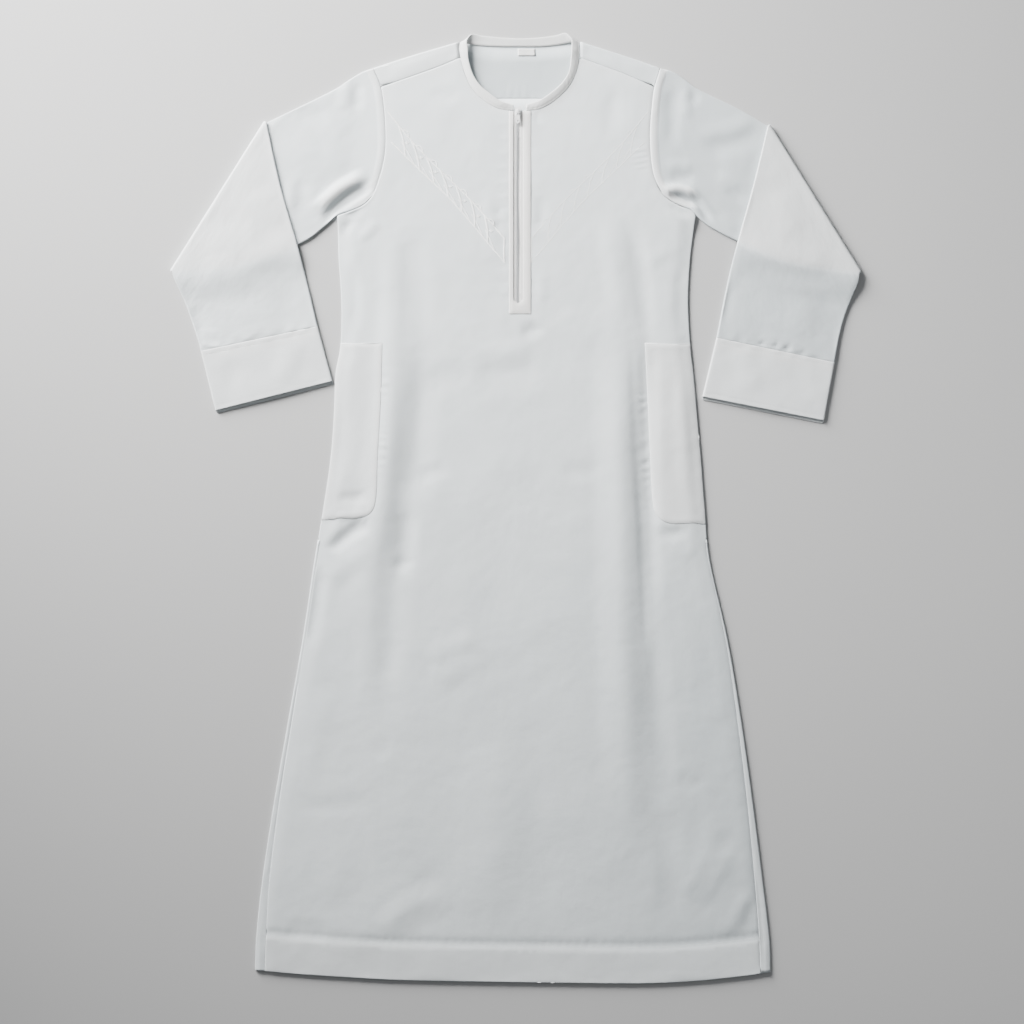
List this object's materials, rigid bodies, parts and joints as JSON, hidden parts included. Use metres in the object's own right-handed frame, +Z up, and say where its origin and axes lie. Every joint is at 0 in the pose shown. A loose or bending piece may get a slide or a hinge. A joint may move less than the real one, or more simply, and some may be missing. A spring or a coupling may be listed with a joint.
{
  "type": "thobe robe",
  "caption": "Long white robe with a round banded neck, zip placket, yoke, patch pockets and long cuffed sleeves, laid flat with the sleeves folded at the elbow.",
  "frame": {"origin": "under the middle of the robe as it lies, on the surface that carries it", "axes": "+Z up from the surface; +Y from the hem to the neck; +X to the wearer's left, which is the right of the picture"},
  "size_m": [1.0324, 1.4205, 0.0109],
  "materials": {
    "white_cloth": "smooth plain weave with a slight sheen",
    "white_band": "smooth plain weave, pressed",
    "zip_tape": "woven tape",
    "zip_teeth": "pale grey coil",
    "slider_metal": "plated, satin",
    "neck_label": "woven label, bare"
  },
  "bodies": {
    "garment": {"front_panel": "white_cloth", "back_panel": "white_cloth", "yoke": "white_cloth", "sleeve_left": "white_cloth", "sleeve_right": "white_cloth", "cuff_left": "white_cloth", "cuff_right": "white_cloth", "pocket_left": "white_cloth", "pocket_right": "white_cloth", "placket": "white_cloth", "neck_band": "white_band", "zip_tape_left": "zip_tape", "zip_tape_right": "zip_tape", "zip_chain": "zip_teeth", "zip_slider": "slider_metal", "neck_label": "neck_label"},
    "pull_tab": {"zip_pull_tab": "slider_metal"}
  },
  "joints": [
    {"name": "pull_tab_hinge", "type": "hinge", "parent": "garment", "child": "pull_tab", "pos_m": [0.003, 0.592, 0.0085], "axis": [-1, 0, 0], "range_deg": [0, 170]}
  ]
}
